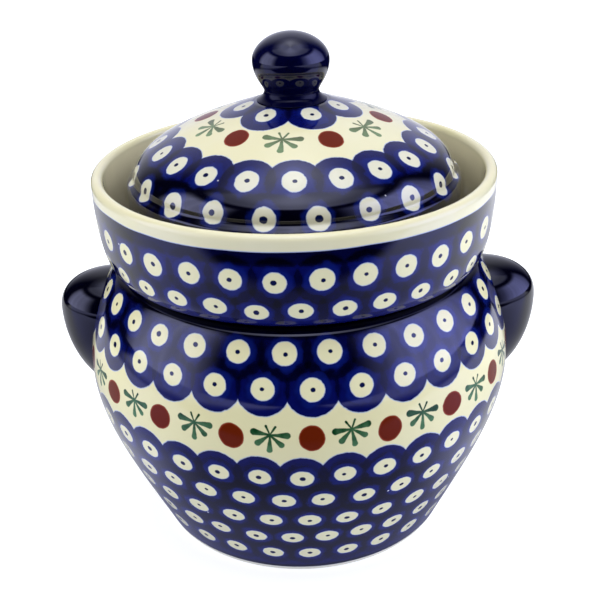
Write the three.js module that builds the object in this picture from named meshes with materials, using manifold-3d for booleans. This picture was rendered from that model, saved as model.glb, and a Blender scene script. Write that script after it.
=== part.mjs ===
import * as THREE from 'three';
import { mergeVertices } from 'three/addons/utils/BufferGeometryUtils.js';
import Module from 'manifold-3d';

// Water-seal fermentation crock in glazed stoneware: a bellied pot with a water trough round its mouth,
// a domed lid whose skirt stands in the trough, and two half-moon weights lying inside the pot.
// Millimetres, +Z up, origin in the middle of the foot, ear handles on the X axis.

// Fits between pieces
const JOINT_GAP = 0.3; // slip joint of a luted piece, and the seat under a loose one
const NECK_SEAL_GAP = 6; // water between the mouth ring and the lid's skirt
const TROUGH_GAP = 10; // water between the lid's skirt and the inside of the lip
const NECK_HEADROOM = 4; // from the mouth ring up to the step above the lid's skirt
const WEIGHT_CLEARANCE = 5; // round the weights, at the mouth and on the floor
const WEIGHT_SPLIT = 3; // between the two weights

// Crock body
const BODY_WALL = 7;
const FLOOR_THICKNESS = 9;
const FOOT_RADIUS = 78.8;
const FOOT_RING_WIDTH = 9;
const FOOT_RECESS = 2.5; // hollow under the floor, inside the foot ring
const FOOT_CHAMFER = 1.2;
const FOOT_FLARE = 19.6; // outward run of the lower side's first tangent
const FOOT_RISE = 45; // upward run of the same tangent
const BELLY_RADIUS = 110.1;
const BELLY_HEIGHT = 92;
const BELLY_FULLNESS_DOWN = 22; // length of the belly's upright tangent below the widest ring
const BELLY_FULLNESS_UP = 20; // and above it
const SHOULDER_HEIGHT = 144.5;
const SHOULDER_TANGENT = 15; // length of the shoulder's sloping end tangent
const SHOULDER_SLOPE = 49; // degrees from level
const GROOVE_HEIGHT = 1.5; // from the shoulder's edge up to the ledge under the collar
const GROOVE_DEPTH = 3.3;
const MOUTH_RADIUS = 64;
const NECK_WALL = 7;
const NECK_HEIGHT = 36; // mouth ring above the trough floor
const NECK_FILLET = 3;

// Water collar
const COLLAR_WALL = 7;
const COLLAR_HEIGHT = 47.2; // from the ledge to the crest of the lip
const COLLAR_OVERHANG = 7.5; // how far the collar stands out past the shoulder's edge
const COLLAR_UNDERCUT = 3; // height of the bevel under the collar's bottom edge
const COLLAR_EDGE_INSET = 5.8; // bottom edge, in from the widest radius
const COLLAR_BULGE_INSET = 2.2; // end of the bottom edge's tangent, in from the widest radius
const COLLAR_BULGE_RISE = 7; // and its height above that edge
const COLLAR_UPRIGHT = 20; // length of the upright tangent under the lip
const COLLAR_FOOT_WIDTH = 3.9;
const COLLAR_FOOT_HEIGHT = 1.8;
const LIP_RADIUS = 2.9; // half thickness of the rounded lip
const TROUGH_ROUNDING = 11; // height of the rounded corner at the trough floor

// Lid
const LID_WALL = 6;
const LID_STEP_WIDTH = 3.6; // step between the skirt and the dome's side
const LID_STEP_HEIGHT = 5;
const DOME_RISE = 32.9; // from the step to the knob's seat
const DOME_CROWN = 16.2; // outward run of the dome's tangent at the top
const DOME_CROWN_DROP = 6.2; // downward run of the same tangent
const DOME_SIDE = 14.7; // height of the dome's steep tangent at the bottom
const DOME_SIDE_LEAN = 1.9;
const KNOB_SEAT_MARGIN = 1.2;
const NOTCH_RADIUS = 6; // gas notches in the skirt's bottom edge

// Knob
const KNOB_RADIUS = 18.7;
const KNOB_HEIGHT = 32.1;
const KNOB_WIDEST = 18.9; // height of the widest ring above the knob's foot
const KNOB_NECK_RADIUS = 13.4;
const KNOB_NECK_HEIGHT = 4.6;
const KNOB_FOOT_RADIUS = 17.4;
const KNOB_NECK_TIGHTNESS = 0.15; // how soon the neck turns outward
const KNOB_FULLNESS = 0.53; // roundness of the ball

// Ear handles
const EAR_REACH = 15; // past the belly
const EAR_ROOT = 18; // the ear's middle, in from the belly's widest radius
const EAR_DROP = 28; // the ear's middle, below the shoulder's edge
const EAR_UP = 21;
const EAR_DOWN = 49;
const EAR_HALF_WIDTH = 24;
const EAR_TOP_SQUARENESS = 2.4; // 2 is a plain ellipse

// Weights
const WEIGHT_THICKNESS = 14;
const WEIGHT_EDGE = 2; // rounding of the edges
const FINGER_HOLE_RADIUS = 9;
const FINGER_HOLE_SHARE = 0.45; // place of the finger hole along the weight's radius

// Facets
const ROUND_STEPS = 48; // round the axis
const KNOB_STEPS = 24;
const CURVE_STEPS = 6; // along a long curve of a profile
const ROUNDING_STEPS = 3; // along a lip or a fillet
const EAR_STEPS = 28;
const HOLE_STEPS = 12; // along a weight's rim and its finger hole
const WELD = 1e-4; // corners closer than this are one

// Sizes that follow from the ones above
const FLOOR_HEIGHT = FOOT_RECESS + FLOOR_THICKNESS;
const LEDGE_HEIGHT = SHOULDER_HEIGHT + GROOVE_HEIGHT;
const NECK_RADIUS = MOUTH_RADIUS + NECK_WALL;
const SKIRT_INNER = NECK_RADIUS + NECK_SEAL_GAP;
const SKIRT_RADIUS = SKIRT_INNER + LID_WALL;
const COLLAR_RADIUS = SKIRT_RADIUS + TROUGH_GAP + COLLAR_WALL;
const SHOULDER_RADIUS = COLLAR_RADIUS - COLLAR_OVERHANG;
const LEDGE_RADIUS = SHOULDER_RADIUS - GROOVE_DEPTH;
const SKIRT_HEIGHT = NECK_HEIGHT + NECK_HEADROOM;

const wasm = await Module();
wasm.setup();

function toSolid(geometry) {
  const bare = geometry.index ? geometry.toNonIndexed() : geometry.clone();
  bare.deleteAttribute('normal');
  bare.deleteAttribute('uv');
  const merged = mergeVertices(bare, WELD);
  const index = [];
  for (let i = 0; i < merged.index.count; i += 3) {
    const corner = [0, 1, 2].map((k) => merged.index.getX(i + k));
    if (new Set(corner).size === 3) {
      index.push(...corner);
    }
  }
  return new wasm.Manifold(new wasm.Mesh({
    numProp: 3,
    vertProperties: new Float32Array(merged.attributes.position.array),
    triVerts: new Uint32Array(index),
  }));
}

function toMesh(name, solid, color, roughness) {
  const { numProp, vertProperties, triVerts } = solid.getMesh();
  if (numProp !== 3) {
    throw new Error(`${name}: vertices hold more than a position`);
  }
  const geometry = new THREE.BufferGeometry();
  geometry.setAttribute('position', new THREE.BufferAttribute(new Float32Array(vertProperties), 3));
  geometry.setIndex(new THREE.BufferAttribute(new Uint32Array(triVerts), 1));
  geometry.computeVertexNormals();
  const mesh = new THREE.Mesh(geometry, new THREE.MeshStandardMaterial({ color, roughness, metalness: 0 }));
  mesh.name = name;
  return mesh;
}

// Turns a profile of (radius, height) points, drawn anticlockwise, about the Z axis.
function turn(points, steps) {
  const lathe = new THREE.LatheGeometry(points, steps);
  lathe.rotateX(Math.PI / 2);
  return toSolid(lathe);
}

// Moves each point of a profile to its left by the given distance.
function inset(points, distance) {
  return points.map((point, i) => {
    const before = points[Math.max(i - 1, 0)];
    const after = points[Math.min(i + 1, points.length - 1)];
    const along = after.clone().sub(before).normalize();
    return new THREE.Vector2(point.x - along.y * distance, point.y + along.x * distance);
  });
}

// Outside of the pot from the foot's edge to the shoulder's edge, grown outward by the given amount.
function potSide(growth) {
  const slope = THREE.MathUtils.degToRad(SHOULDER_SLOPE);
  const side = new THREE.Path();
  side.moveTo(FOOT_RADIUS, FOOT_CHAMFER);
  side.bezierCurveTo(
    FOOT_RADIUS + FOOT_FLARE, FOOT_CHAMFER + FOOT_RISE,
    BELLY_RADIUS, BELLY_HEIGHT - BELLY_FULLNESS_DOWN,
    BELLY_RADIUS, BELLY_HEIGHT,
  );
  side.bezierCurveTo(
    BELLY_RADIUS, BELLY_HEIGHT + BELLY_FULLNESS_UP,
    SHOULDER_RADIUS + SHOULDER_TANGENT * Math.cos(slope),
    SHOULDER_HEIGHT - SHOULDER_TANGENT * Math.sin(slope),
    SHOULDER_RADIUS, SHOULDER_HEIGHT,
  );
  return inset(side.getPoints(CURVE_STEPS), -growth);
}

function crockBody() {
  const outside = potSide(0);
  const ceiling = LEDGE_HEIGHT - BODY_WALL;
  const inside = inset(outside, BODY_WALL).filter((p) => p.y > FLOOR_HEIGHT && p.y < ceiling);
  const neckTop = LEDGE_HEIGHT + NECK_HEIGHT;
  const lip = NECK_WALL / 2;
  const ring = new THREE.Path();
  ring.moveTo(LEDGE_RADIUS, LEDGE_HEIGHT);
  ring.lineTo(NECK_RADIUS + NECK_FILLET, LEDGE_HEIGHT);
  ring.quadraticCurveTo(NECK_RADIUS, LEDGE_HEIGHT, NECK_RADIUS, LEDGE_HEIGHT + NECK_FILLET);
  ring.lineTo(NECK_RADIUS, neckTop - lip);
  ring.absarc(MOUTH_RADIUS + lip, neckTop - lip, lip, 0, Math.PI);
  ring.lineTo(MOUTH_RADIUS, ceiling);
  const foot = [
    new THREE.Vector2(0, FOOT_RECESS),
    new THREE.Vector2(FOOT_RADIUS - FOOT_RING_WIDTH - FOOT_RECESS, FOOT_RECESS),
    new THREE.Vector2(FOOT_RADIUS - FOOT_RING_WIDTH, 0),
    new THREE.Vector2(FOOT_RADIUS - FOOT_CHAMFER, 0),
  ];
  const floorEdge = inside[0].x - BODY_WALL / 2;
  const profile = [
    ...foot,
    ...outside,
    ...ring.getPoints(ROUNDING_STEPS),
    ...inside.reverse(),
    new THREE.Vector2(floorEdge, FLOOR_HEIGHT),
    new THREE.Vector2(0, FLOOR_HEIGHT),
  ];
  return turn(profile, ROUND_STEPS);
}

function waterCollar() {
  const base = LEDGE_HEIGHT + JOINT_GAP;
  const crest = LEDGE_HEIGHT + COLLAR_HEIGHT;
  const lipHeight = crest - LIP_RADIUS;
  const edgeRadius = COLLAR_RADIUS - COLLAR_EDGE_INSET;
  const edgeHeight = base + COLLAR_UNDERCUT;
  const wallHeight = lipHeight - edgeHeight;
  const innerRadius = COLLAR_RADIUS - 2 * LIP_RADIUS;
  const troughRadius = COLLAR_RADIUS - COLLAR_WALL - COLLAR_UNDERCUT;
  const footInner = LEDGE_RADIUS - COLLAR_FOOT_WIDTH;
  const collar = new THREE.Path();
  collar.moveTo(footInner, base);
  collar.lineTo(LEDGE_RADIUS, base);
  collar.lineTo(edgeRadius, edgeHeight);
  collar.bezierCurveTo(
    COLLAR_RADIUS - COLLAR_BULGE_INSET, edgeHeight + COLLAR_BULGE_RISE,
    COLLAR_RADIUS, lipHeight - COLLAR_UPRIGHT,
    COLLAR_RADIUS, lipHeight,
  );
  collar.absarc(COLLAR_RADIUS - LIP_RADIUS, lipHeight, LIP_RADIUS, 0, Math.PI);
  collar.quadraticCurveTo(
    innerRadius - (COLLAR_WALL - LIP_RADIUS) / 2, lipHeight - wallHeight / 2,
    troughRadius + COLLAR_UNDERCUT / 2, base + TROUGH_ROUNDING,
  );
  collar.quadraticCurveTo(troughRadius, base + COLLAR_FOOT_HEIGHT, footInner, base + COLLAR_FOOT_HEIGHT);
  collar.lineTo(footInner, base);
  return turn(collar.getPoints(ROUNDING_STEPS), ROUND_STEPS);
}

// Height of the flat on top of the dome that carries the knob
const LID_BASE = LEDGE_HEIGHT + JOINT_GAP;
const DOME_BASE = LID_BASE + SKIRT_HEIGHT + LID_STEP_HEIGHT;
const KNOB_SEAT = DOME_BASE + DOME_RISE;

function lid() {
  const seatRadius = KNOB_FOOT_RADIUS + KNOB_SEAT_MARGIN;
  const sideRadius = SKIRT_RADIUS - LID_STEP_WIDTH;
  const stepMiddle = LID_BASE + SKIRT_HEIGHT + LID_STEP_HEIGHT / 2;
  const shell = new THREE.Path();
  shell.moveTo(SKIRT_RADIUS, LID_BASE);
  shell.lineTo(SKIRT_RADIUS, LID_BASE + SKIRT_HEIGHT);
  shell.bezierCurveTo(SKIRT_RADIUS, stepMiddle, sideRadius, stepMiddle, sideRadius, DOME_BASE);
  shell.bezierCurveTo(
    sideRadius - DOME_SIDE_LEAN, DOME_BASE + DOME_SIDE,
    seatRadius + DOME_CROWN, KNOB_SEAT - DOME_CROWN_DROP,
    seatRadius, KNOB_SEAT,
  );
  const outside = shell.getPoints(CURVE_STEPS);
  const inside = inset(outside, LID_WALL).slice(1);
  inside[0].x = Math.min(inside[0].x, SKIRT_INNER);
  const profile = [
    new THREE.Vector2(SKIRT_INNER, LID_BASE),
    ...outside,
    new THREE.Vector2(0, KNOB_SEAT),
    new THREE.Vector2(0, KNOB_SEAT - LID_WALL),
    ...inside.reverse(),
    new THREE.Vector2(SKIRT_INNER, LID_BASE),
  ];
  const notchLength = 3 * SKIRT_RADIUS;
  const notch = new THREE.CylinderGeometry(NOTCH_RADIUS, NOTCH_RADIUS, notchLength, HOLE_STEPS);
  notch.rotateZ(Math.PI / 2);
  notch.translate(0, 0, LID_BASE);
  return turn(profile, ROUND_STEPS).subtract(toSolid(notch));
}

function lidKnob() {
  const base = KNOB_SEAT + JOINT_GAP;
  const widest = base + KNOB_WIDEST;
  const neck = base + KNOB_NECK_HEIGHT;
  const top = base + KNOB_HEIGHT;
  const rise = widest - neck;
  const crown = top - widest;
  const knob = new THREE.Path();
  knob.moveTo(0, base);
  knob.lineTo(KNOB_FOOT_RADIUS, base);
  knob.quadraticCurveTo(KNOB_NECK_RADIUS, base + KNOB_NECK_HEIGHT / 2, KNOB_NECK_RADIUS, neck);
  knob.bezierCurveTo(
    KNOB_NECK_RADIUS, neck + rise * KNOB_NECK_TIGHTNESS,
    KNOB_RADIUS, widest - rise * KNOB_FULLNESS,
    KNOB_RADIUS, widest,
  );
  knob.bezierCurveTo(
    KNOB_RADIUS, widest + crown * KNOB_FULLNESS,
    KNOB_RADIUS * KNOB_FULLNESS, top,
    0, top,
  );
  return turn(knob.getPoints(CURVE_STEPS), KNOB_STEPS);
}

// An ear is an egg-shaped lug: a ball drawn out to its own reach, top and bottom, cut to fit the belly.
function earHandle(side) {
  const ball = new THREE.SphereGeometry(1, EAR_STEPS, EAR_STEPS / 2);
  const place = ball.attributes.position;
  const middleRadius = BELLY_RADIUS - EAR_ROOT;
  const middleHeight = SHOULDER_HEIGHT - EAR_DROP;
  const reach = EAR_ROOT + EAR_REACH;
  for (let i = 0; i < place.count; i += 1) {
    const angle = Math.atan2(place.getZ(i), place.getX(i));
    const ring = Math.sqrt(Math.max(0, 1 - place.getY(i) ** 2));
    const power = Math.sin(angle) > 0 ? EAR_TOP_SQUARENESS : 2;
    const across = Math.abs(Math.cos(angle));
    const up = Math.abs(Math.sin(angle));
    const stretch = (across ** power + up ** power) ** (-1 / power);
    const x = Math.cos(angle) * stretch * ring * reach;
    const z = Math.sin(angle) * stretch * ring * (Math.sin(angle) > 0 ? EAR_UP : EAR_DOWN);
    place.setXYZ(i, middleRadius + x, place.getY(i) * EAR_HALF_WIDTH, middleHeight + z);
  }
  const ear = toSolid(ball);
  const grown = potSide(JOINT_GAP);
  const pot = turn([
    new THREE.Vector2(0, grown[0].y),
    ...grown,
    new THREE.Vector2(0, grown[grown.length - 1].y),
  ], ROUND_STEPS);
  const cut = ear.subtract(pot);
  return side > 0 ? cut : cut.rotate([0, 0, 180]);
}

function weightHalf(side) {
  const floorRadius = FOOT_RADIUS - BODY_WALL;
  const radius = Math.min(MOUTH_RADIUS, floorRadius) - WEIGHT_CLEARANCE;
  const flat = WEIGHT_SPLIT / 2;
  const corner = Math.acos(flat / radius);
  const outline = new THREE.Shape();
  outline.absarc(0, 0, radius, -corner, corner);
  outline.closePath();
  const hole = new THREE.Path();
  hole.absarc(radius * FINGER_HOLE_SHARE, 0, FINGER_HOLE_RADIUS, 0, 2 * Math.PI, true);
  outline.holes.push(hole);
  const slab = new THREE.ExtrudeGeometry(outline, {
    depth: WEIGHT_THICKNESS - 2 * WEIGHT_EDGE,
    bevelSize: WEIGHT_EDGE,
    bevelThickness: WEIGHT_EDGE,
    bevelOffset: -WEIGHT_EDGE,
    bevelSegments: ROUNDING_STEPS - 1,
    curveSegments: HOLE_STEPS,
  });
  slab.translate(0, 0, FLOOR_HEIGHT + JOINT_GAP + WEIGHT_EDGE);
  if (side < 0) {
    slab.rotateZ(Math.PI);
  }
  return toSolid(slab);
}

const crock = new THREE.Group();
crock.add(
  toMesh('crock_body', crockBody(), 0x262a78, 0.15),
  toMesh('water_collar', waterCollar(), 0x20246c, 0.15),
  toMesh('left_handle', earHandle(-1), 0x0a0a2e, 0.12),
  toMesh('right_handle', earHandle(1), 0x0a0a2e, 0.12),
  toMesh('lid', lid(), 0xe9e5c9, 0.15),
  toMesh('lid_knob', lidKnob(), 0x0a0a2e, 0.12),
  toMesh('weight_half_left', weightHalf(-1), 0xd8cdb0, 0.5),
  toMesh('weight_half_right', weightHalf(1), 0xd8cdb0, 0.5),
);

export default crock;
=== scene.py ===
import math

import bpy
import numpy as np
from mathutils import Euler, Matrix, Vector


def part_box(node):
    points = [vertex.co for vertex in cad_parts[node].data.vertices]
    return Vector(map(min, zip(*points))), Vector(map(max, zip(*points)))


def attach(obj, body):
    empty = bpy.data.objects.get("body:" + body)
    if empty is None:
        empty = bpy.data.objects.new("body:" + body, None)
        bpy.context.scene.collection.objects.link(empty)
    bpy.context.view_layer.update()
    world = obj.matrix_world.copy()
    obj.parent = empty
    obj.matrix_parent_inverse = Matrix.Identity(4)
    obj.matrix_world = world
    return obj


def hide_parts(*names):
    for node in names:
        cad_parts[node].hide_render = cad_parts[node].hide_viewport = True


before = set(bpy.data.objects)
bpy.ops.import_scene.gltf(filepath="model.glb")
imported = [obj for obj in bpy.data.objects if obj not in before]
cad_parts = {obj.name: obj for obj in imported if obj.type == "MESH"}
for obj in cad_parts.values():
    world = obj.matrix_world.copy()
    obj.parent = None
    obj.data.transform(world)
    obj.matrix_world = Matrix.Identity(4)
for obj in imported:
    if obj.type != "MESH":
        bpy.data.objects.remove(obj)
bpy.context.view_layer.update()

# Studio: white paper inside a light tent, with a tall soft box at each side, one overhead and a dark gap in
# front where the camera stands. The camera is a little over half a metre away, looks down by 26 degrees and
# is tipped slightly, so the pot leans a touch to the left in the picture.
MM = 0.001
WHITE = (1, 1, 1, 1)
scene = bpy.context.scene
scene.view_settings.view_transform = "Standard"

TARGET = Vector((1.08, 0, 115.7)) * MM
CAMERA_DISTANCE = 531.1 * MM
CAMERA_DROP = math.radians(26.02)
CAMERA_TIP = math.radians(-1.68)
PICTURE_WIDTH = 600
FOCAL_PIXELS = 997.9


def add_object(name, data):
    """A new object in the scene, at the origin."""
    made = bpy.data.objects.new(name, data)
    scene.collection.objects.link(made)
    return made


camera_data = bpy.data.cameras.new("camera")
camera_data.sensor_width = 36
camera_data.lens = FOCAL_PIXELS / PICTURE_WIDTH * camera_data.sensor_width
camera = add_object("camera", camera_data)
aim = Euler((math.pi / 2 - CAMERA_DROP, 0, 0)).to_matrix()
camera.matrix_world = (
    Matrix.Translation(TARGET + aim @ Vector((0, 0, CAMERA_DISTANCE)))
    @ (aim @ Matrix.Rotation(CAMERA_TIP, 3, "Z")).to_4x4()
)
scene.camera = camera

# A weak lamp overhead helps the tent, and the glaze does not mirror it
LAMP_PLACE = Vector((0, -0.2, 1.5))
LAMP_TARGET = Vector((0, 0, 0.12))
lamp_data = bpy.data.lights.new("top_lamp", "AREA")
lamp_data.size = 0.8
lamp_data.energy = 2
top_lamp = add_object("top_lamp", lamp_data)
top_lamp.location = LAMP_PLACE
top_lamp.rotation_euler = (LAMP_TARGET - LAMP_PLACE).to_track_quat("-Z", "Y").to_euler()
top_lamp.visible_glossy = False


def plug(tree, value, socket):
    """Feeds a node's socket with a number in the tree, another socket or a plain value."""
    if isinstance(value, Flow):
        tree.links.new(value.socket, socket)
    elif isinstance(value, bpy.types.NodeSocket):
        tree.links.new(value, socket)
    else:
        socket.default_value = value


class Flow:
    """A number that runs through a node tree: arithmetic on it adds the Math nodes."""

    def __init__(self, tree, socket):
        self.tree = tree
        self.socket = socket

    def math(self, operation, *others):
        made = self.tree.nodes.new("ShaderNodeMath")
        made.operation = operation
        for socket, value in zip(made.inputs, (self, *others)):
            plug(self.tree, value, socket)
        return Flow(self.tree, made.outputs[0])

    def __add__(self, other):
        return self.math("ADD", other)

    def __sub__(self, other):
        return self.math("SUBTRACT", other)

    def __mul__(self, other):
        return self.math("MULTIPLY", other)

    def __truediv__(self, other):
        return self.math("DIVIDE", other)


def node(tree, kind, inputs=None, **options):
    """A node with its options, and its inputs by name or number."""
    made = tree.nodes.new(kind)
    for option, value in options.items():
        setattr(made, option, value)
    for key, value in (inputs or {}).items():
        plug(tree, value, made.inputs[key])
    return made


def separate(tree, vector):
    """The three numbers of a vector, by axis."""
    outputs = node(tree, "ShaderNodeSeparateXYZ", {0: vector}).outputs
    return {axis: Flow(tree, outputs[axis]) for axis in "XYZ"}


def combine(tree, x, y, z=0.0):
    return node(tree, "ShaderNodeCombineXYZ", {"X": x, "Y": y, "Z": z}).outputs[0]


def length_of(x, y):
    return (x * x + y * y).math("SQRT")


def without(mask):
    """What a mask leaves out."""
    return mask * -1.0 + 1.0


def ramp(value, edge, soft, start, end):
    """A number that goes from start to end as the value passes an edge with a soft border."""
    made = node(value.tree, "ShaderNodeMapRange", {
        "Value": value, "From Min": edge - soft, "From Max": edge + soft, "To Min": start, "To Max": end,
    }, interpolation_type="SMOOTHSTEP")
    return Flow(value.tree, made.outputs["Result"])


def below(value, edge, soft):
    return ramp(value, edge, soft, 1.0, 0.0)


def above(value, edge, soft):
    return ramp(value, edge, soft, 0.0, 1.0)


def band(value, start, start_soft, end, end_soft):
    """The mask of what lies between two edges, each with its own soft border."""
    return above(value, start, start_soft) * below(value, end, end_soft)


def bell(value, middle, width):
    """A number that is one in the middle and falls away to both sides."""
    away = (value - middle) / width
    return (away * away * -1.0).math("EXPONENT")


def blend_colors(tree, factor, first, second):
    return node(tree, "ShaderNodeMix", {0: factor, 6: first, 7: second}, data_type="RGBA").outputs[2]


# The tent in degrees: a turn is counted from the front to the right, a rise from the horizon. Each edge has
# the softness of its border after it, and a ramp ends in its two strengths. First, what the glaze mirrors
LEFT_BOX_TURNS = (-100, 8, -55, 12)
LEFT_BOX_LIGHT = 2.0
RIGHT_BOX_TURNS = (50, 22, 112, 10)
RIGHT_BOX_RAMP = (95, 15, 2.1, 1.2)
BOX_FOOT = (-25, 5)
BOX_HEAD = (42, 5)
FOLDS_PER_DEGREE = 0.12
FOLD_DEPTH = 0.7
TOP_BOX_EDGE = (53, 3)
TOP_BOX_SIDES = (100, 10)
TOP_BOX_BACK = (62, 14)
TOP_BOX_RAMP = (66, 8, 0.75, 1.65)
FRONT_WIDTH = 40
BACK_WIDTH = 20
BACK_WALL_TURN = (145, 22)
BACK_WALL_HEAD = (58, 16)
BACK_WALL_LIGHT = 0.7
# What lights the pot all over
SIDE_TURNS = (61, 12, 116, 10)
SIDE_HEAD = (68, 10)
SIDE_RISE_RAMP = (35, 15, 1.0, 1.4)
SIDE_TURN_RAMP = (0, 10, 1.02, 1.22)
SIDE_LIGHT = 2.0
TOP_LIGHT = 0.45
TOP_FRONT_LOSS = 0.7
BACK_LIGHT = 0.6
GAP_TURN = (55, 20)
GAP_HEAD = (55, 10)
GAP_LOSS = 0.8
ROOM_FILL = 0.3
# Colours of that light, from the left to the right, over the pot and at the back
RIGHT_HALF = (0, 20)
BACK_HALF = (132, 20)
SPREAD_LEFT = (0.99, 1.03, 1.08, 1)
SPREAD_RIGHT = (0.96, 1.02, 1.2, 1)
MIRRORED_LEFT = (0.99, 1.03, 1.7, 1)
MIRRORED_RIGHT = (0.96, 1.02, 2.3, 1)
MIRRORED_OVER = (0.98, 1.02, 1.5, 1)
MIRRORED_BACK = (1, 1.02, 1.25, 1)
FILL_TINT = (1.08, 1.0, 0.82, 1)

room = bpy.data.worlds.new("room")
room.use_nodes = True
scene.world = room
sky = room.node_tree
sky.nodes.clear()
seen = node(sky, "ShaderNodeLightPath").outputs
ray = separate(sky, node(sky, "ShaderNodeTexCoord").outputs["Generated"])
turn = ray["X"].math("ARCTAN2", ray["Y"] * -1.0) * math.degrees(1)
rise = ray["Z"].math("ARCSINE") * math.degrees(1)
aside = turn.math("ABSOLUTE")
ahead = bell(turn, 0, FRONT_WIDTH)
behind = bell(aside, 180, BACK_WIDTH)
upright = above(rise, *BOX_FOOT)
over = above(rise, *TOP_BOX_EDGE) * below(aside, *TOP_BOX_SIDES).math("MAXIMUM", above(rise, *TOP_BOX_BACK))
folds = node(sky, "ShaderNodeTexNoise", {
    "W": turn * FOLDS_PER_DEGREE, "Scale": 1.0, "Detail": 2.0,
}, noise_dimensions="1D")
folds = (Flow(sky, folds.outputs["Fac"]) - 0.5) * FOLD_DEPTH + 1.0
left_box = band(turn, *LEFT_BOX_TURNS) * LEFT_BOX_LIGHT
right_box = band(turn, *RIGHT_BOX_TURNS) * ramp(turn, *RIGHT_BOX_RAMP)
side_boxes = (left_box + right_box) * folds * upright * below(rise, *BOX_HEAD)
top_box = over * (behind + ramp(rise, *TOP_BOX_RAMP))
back_wall = above(aside, *BACK_WALL_TURN) * below(rise, *BACK_WALL_HEAD) * BACK_WALL_LIGHT
mirrored = side_boxes + top_box + over * ahead + back_wall
spread = band(aside, *SIDE_TURNS) * upright * below(rise, *SIDE_HEAD) * ramp(rise, *SIDE_RISE_RAMP)
spread = spread * ramp(turn, *SIDE_TURN_RAMP) * SIDE_LIGHT
spread = spread + top_box * without(ahead * TOP_FRONT_LOSS) * TOP_LIGHT + back_wall * BACK_LIGHT
front_gap = below(aside, *GAP_TURN) * below(rise, *GAP_HEAD)
straight = Flow(sky, seen["Is Camera Ray"]).math("MAXIMUM", seen["Is Transmission Ray"])
bent = without(straight)
tent = node(sky, "ShaderNodeMix", {0: seen["Is Glossy Ray"], 2: spread, 3: mirrored}).outputs[0]
fill = bent * without(Flow(sky, seen["Is Glossy Ray"])) * without(front_gap * GAP_LOSS) * ROOM_FILL
spread_tint = blend_colors(sky, above(turn, *RIGHT_HALF), SPREAD_LEFT, SPREAD_RIGHT)
mirrored_tint = blend_colors(sky, above(turn, *RIGHT_HALF), MIRRORED_LEFT, MIRRORED_RIGHT)
mirrored_tint = blend_colors(sky, over, mirrored_tint, MIRRORED_OVER)
mirrored_tint = blend_colors(sky, above(aside, *BACK_HALF), mirrored_tint, MIRRORED_BACK)
tint = blend_colors(sky, seen["Is Glossy Ray"], spread_tint, mirrored_tint)
tent_light = node(sky, "ShaderNodeBackground", {"Color": tint, "Strength": bent * tent})
fill_light = node(sky, "ShaderNodeBackground", {"Color": FILL_TINT, "Strength": fill})
backdrop = node(sky, "ShaderNodeBackground", {"Color": WHITE, "Strength": straight})
both = node(sky, "ShaderNodeAddShader", {0: tent_light.outputs[0], 1: fill_light.outputs[0]})
both = node(sky, "ShaderNodeAddShader", {0: both.outputs[0], 1: backdrop.outputs[0]})
node(sky, "ShaderNodeOutputWorld", {"Surface": both.outputs[0]})

# The paper in metres from the pot's axis, with edges and ramps as above. First, what it throws on the pot
FLOOR_HALF = 6
PAPER = (0.38, 0.4, 0.44, 1)
FLOOR_LIGHT = 0.54
WIDE_RAMP = (0.25, 0.15, 0.9, 1.4)
FLANK = (0.1, 0.03, 0.28, 0.07)
FLANK_END = (0.35, 0.1)
FLANK_RAMP = (0, 0.1, 0.45, 1.1)
UNDER = (0.17, 0.06)
UNDER_RAMP = (0, 0.1, 0.4, 0.65)
SHADOW_RAMP = (0.2, 0.1, 0.78, 1.0)
BOUNCED_TINT = (0.92, 1.0, 1.34, 1)
# What the glaze mirrors of it
SHEET_RAMP = (0, 0.05, 0.6, 0.9)
SHEET_WIDE_RAMP = (0.25, 0.2, 0.0, 1.0)
SHEET_LIGHT = 0.2
SHEET_FRONT = (-0.325, 0.035)
SHEET_END = (0.68, 0.08)
NEAR = (0.11, 0.03, 0.2, 0.05)
NEAR_DEPTH = (0.1, 0.05)
NEAR_LIGHT = 0.3
BEYOND = (0.6, 0.1)
BEYOND_WIDTH = (0.4, 0.1)
BEYOND_LIGHT = 0.8
OUTER_RAMP = (0.8, 0.3, 0.0, 0.9)
OUTER_BACK = (0.15, 0.1)
TINT_DEPTH = (-0.02, 0.06)
SHEET_TINT_FRONT = (0.97, 1.02, 1.8, 1)
SHEET_TINT_BACK = (1, 1.02, 1.12, 1)

floor_mesh = bpy.data.meshes.new("floor")
corners = [(x * FLOOR_HALF, y * FLOOR_HALF, 0) for x, y in ((-1, -1), (1, -1), (1, 1), (-1, 1))]
floor_mesh.from_pydata(corners, [], [(0, 1, 2, 3)])
floor = add_object("floor", floor_mesh)
paper = bpy.data.materials.new("floor_paper")
paper.use_nodes = True
tree = paper.node_tree
tree.nodes.clear()
seen = node(tree, "ShaderNodeLightPath").outputs
spot = separate(tree, node(tree, "ShaderNodeTexCoord").outputs["Object"])
away = length_of(spot["X"], spot["Y"])
wide = spot["X"].math("ABSOLUTE")
flank = band(wide, *FLANK) * below(away, *FLANK_END) * ramp(spot["X"], *FLANK_RAMP)
under = below(away, *UNDER) * ramp(spot["X"], *UNDER_RAMP)
bounced = (ramp(wide, *WIDE_RAMP) + flank + under) * FLOOR_LIGHT
glow = node(tree, "ShaderNodeMix", {0: seen["Is Camera Ray"], 2: bounced, 3: ramp(away, *SHADOW_RAMP)})
tint = blend_colors(tree, seen["Is Camera Ray"], BOUNCED_TINT, WHITE)
lit = node(tree, "ShaderNodeEmission", {"Color": tint, "Strength": glow.outputs[0]})
matt = node(tree, "ShaderNodeBsdfDiffuse", {"Color": PAPER})
as_seen = node(tree, "ShaderNodeAddShader", {0: matt.outputs[0], 1: lit.outputs[0]})
sheet = ramp(spot["X"], *SHEET_RAMP) * ramp(wide, *SHEET_WIDE_RAMP) + SHEET_LIGHT
sheet = sheet * above(spot["Y"], *SHEET_FRONT) * below(away, *SHEET_END)
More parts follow.
